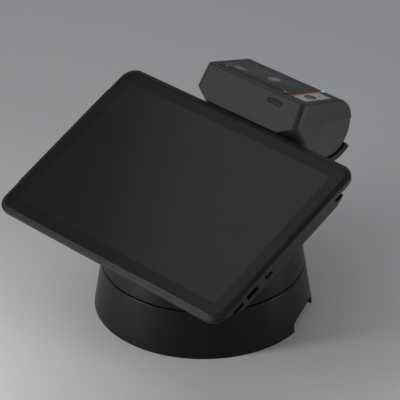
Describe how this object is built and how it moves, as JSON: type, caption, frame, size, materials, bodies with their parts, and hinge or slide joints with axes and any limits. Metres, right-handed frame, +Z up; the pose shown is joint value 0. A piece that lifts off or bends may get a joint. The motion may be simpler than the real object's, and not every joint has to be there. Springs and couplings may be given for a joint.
{
  "type": "card payment terminal",
  "caption": "Countertop card payment terminal: tilted 10 inch tablet on a swivelling round pedestal, with a rear payment head holding a receipt printer, scanner and card readers.",
  "frame": {"origin": "centre of the pedestal's resting face, on the swivel axis", "axes": "+Z up, -Y towards the operator, +X to the operator's right"},
  "size_m": [0.2464, 0.222, 0.1733],
  "materials": {
    "pedestal_black": "satin",
    "housing_black": "fine matte texture",
    "head_grey": "fine matte texture",
    "steel": "machined",
    "rubber": "matte",
    "bearing_plastic": "moulded",
    "circuit_board": "solder mask",
    "socket_plastic": "moulded",
    "contact_gold": "plated",
    "screen_glass": "polished",
    "display": "switched off",
    "lens_glass": "polished",
    "battery_wrap": "film",
    "window_gloss": "semi gloss",
    "accent_orange": "painted",
    "bezel_white": "satin",
    "light_cyan": "lit",
    "heater_ceramic": "ceramic",
    "brass": "cut",
    "card_core": "card",
    "receipt_paper": "paper",
    "button_dark": "moulded"
  },
  "bodies": {
    "base": {"base_shell": "pedestal_black", "base_weight_plate": "steel", "base_screws": "steel", "rubber_foot": "rubber", "swivel_spindle": "steel", "turning_ring": "bearing_plastic", "swivel_stop_pin": "steel", "hub_board": "circuit_board", "network_socket": "socket_plastic", "power_socket": "socket_plastic", "retaining_nut": "steel"},
    "stand": {"drum_shell": "pedestal_black", "port_hatch": "pedestal_black", "turntable": "steel", "turntable_screws": "steel", "dock_plate": "steel", "dock_screws": "steel", "dock_connector": "contact_gold", "front_glass": "screen_glass", "bezel_frame": "housing_black", "display_panel": "display", "front_camera": "lens_glass", "back_shell": "housing_black", "battery_pack": "battery_wrap", "main_board": "circuit_board", "loudspeakers": "socket_plastic", "rear_housing": "housing_black", "usb_a_socket": "steel", "usb_c_socket": "steel", "chip_card_reader": "socket_plastic", "head_upper_shell": "head_grey", "head_lower_shell": "head_grey", "hinge_pin": "steel", "feed_motor": "steel", "print_head": "heater_ceramic", "print_head_springs": "steel", "printer_chassis": "bearing_plastic", "swipe_reader": "steel"},
    "paper_cover": {"paper_cover": "head_grey", "top_window": "window_gloss", "accent_stripe": "accent_orange", "scanner_bezel": "bezel_white", "scanner_module": "socket_plastic", "scanner_window": "lens_glass", "light_sensor": "lens_glass", "status_light": "light_cyan", "contactless_antenna": "circuit_board", "tear_bar": "steel"},
    "platen": {"platen_shaft": "steel", "platen_roller": "rubber", "platen_gear": "bearing_plastic"},
    "feed_pinion": {"motor_pinion": "brass", "motor_shaft": "steel"},
    "paper": {"paper_core": "card_core", "paper_roll": "receipt_paper"},
    "release_button": {"release_button": "button_dark"},
    "power_button": {"power_button": "button_dark"},
    "volume_key": {"volume_key": "button_dark"}
  },
  "joints": [
    {"name": "swivel", "type": "hinge", "parent": "base", "child": "stand", "pos_m": [0, 0, 0.0387], "axis": [0, 0, 1], "range_deg": [-170, 170]},
    {"name": "cover_hinge", "type": "hinge", "parent": "stand", "child": "paper_cover", "pos_m": [0, 0.11017, 0.14201], "axis": [-1, 0, 0], "range_deg": [0, 70]},
    {"name": "paper_turn", "type": "hinge", "parent": "stand", "child": "paper", "pos_m": [0, 0.08837, 0.13881], "axis": [1, 0, 0], "continuous": true},
    {"name": "platen_turn", "type": "hinge", "parent": "paper_cover", "child": "platen", "pos_m": [0, 0.06625, 0.16125], "axis": [1, 0, 0], "continuous": true},
    {"name": "pinion_turn", "type": "hinge", "parent": "stand", "child": "feed_pinion", "pos_m": [0, 0.06082, 0.14952], "axis": [1, 0, 0], "continuous": true},
    {"name": "release_press", "type": "slide", "parent": "stand", "child": "release_button", "axis": [0, 0.8425, -0.5388], "range_m": [0, 0.0012], "stiffness_N_per_m": 400, "springref_m": -0.0005},
    {"name": "power_press", "type": "slide", "parent": "stand", "child": "power_button", "axis": [1, 0, 0], "range_m": [0, 0.0005], "stiffness_N_per_m": 600, "springref_m": -0.0003},
    {"name": "volume_press", "type": "slide", "parent": "stand", "child": "volume_key", "axis": [1, 0, 0], "range_m": [0, 0.0005], "stiffness_N_per_m": 600, "springref_m": -0.0003}
  ],
  "couplings": [
    {"joint": "platen_turn", "follows": "paper_turn", "ratio": 3.7},
    {"joint": "pinion_turn", "follows": "paper_turn", "ratio": -2.8778}
  ]
}
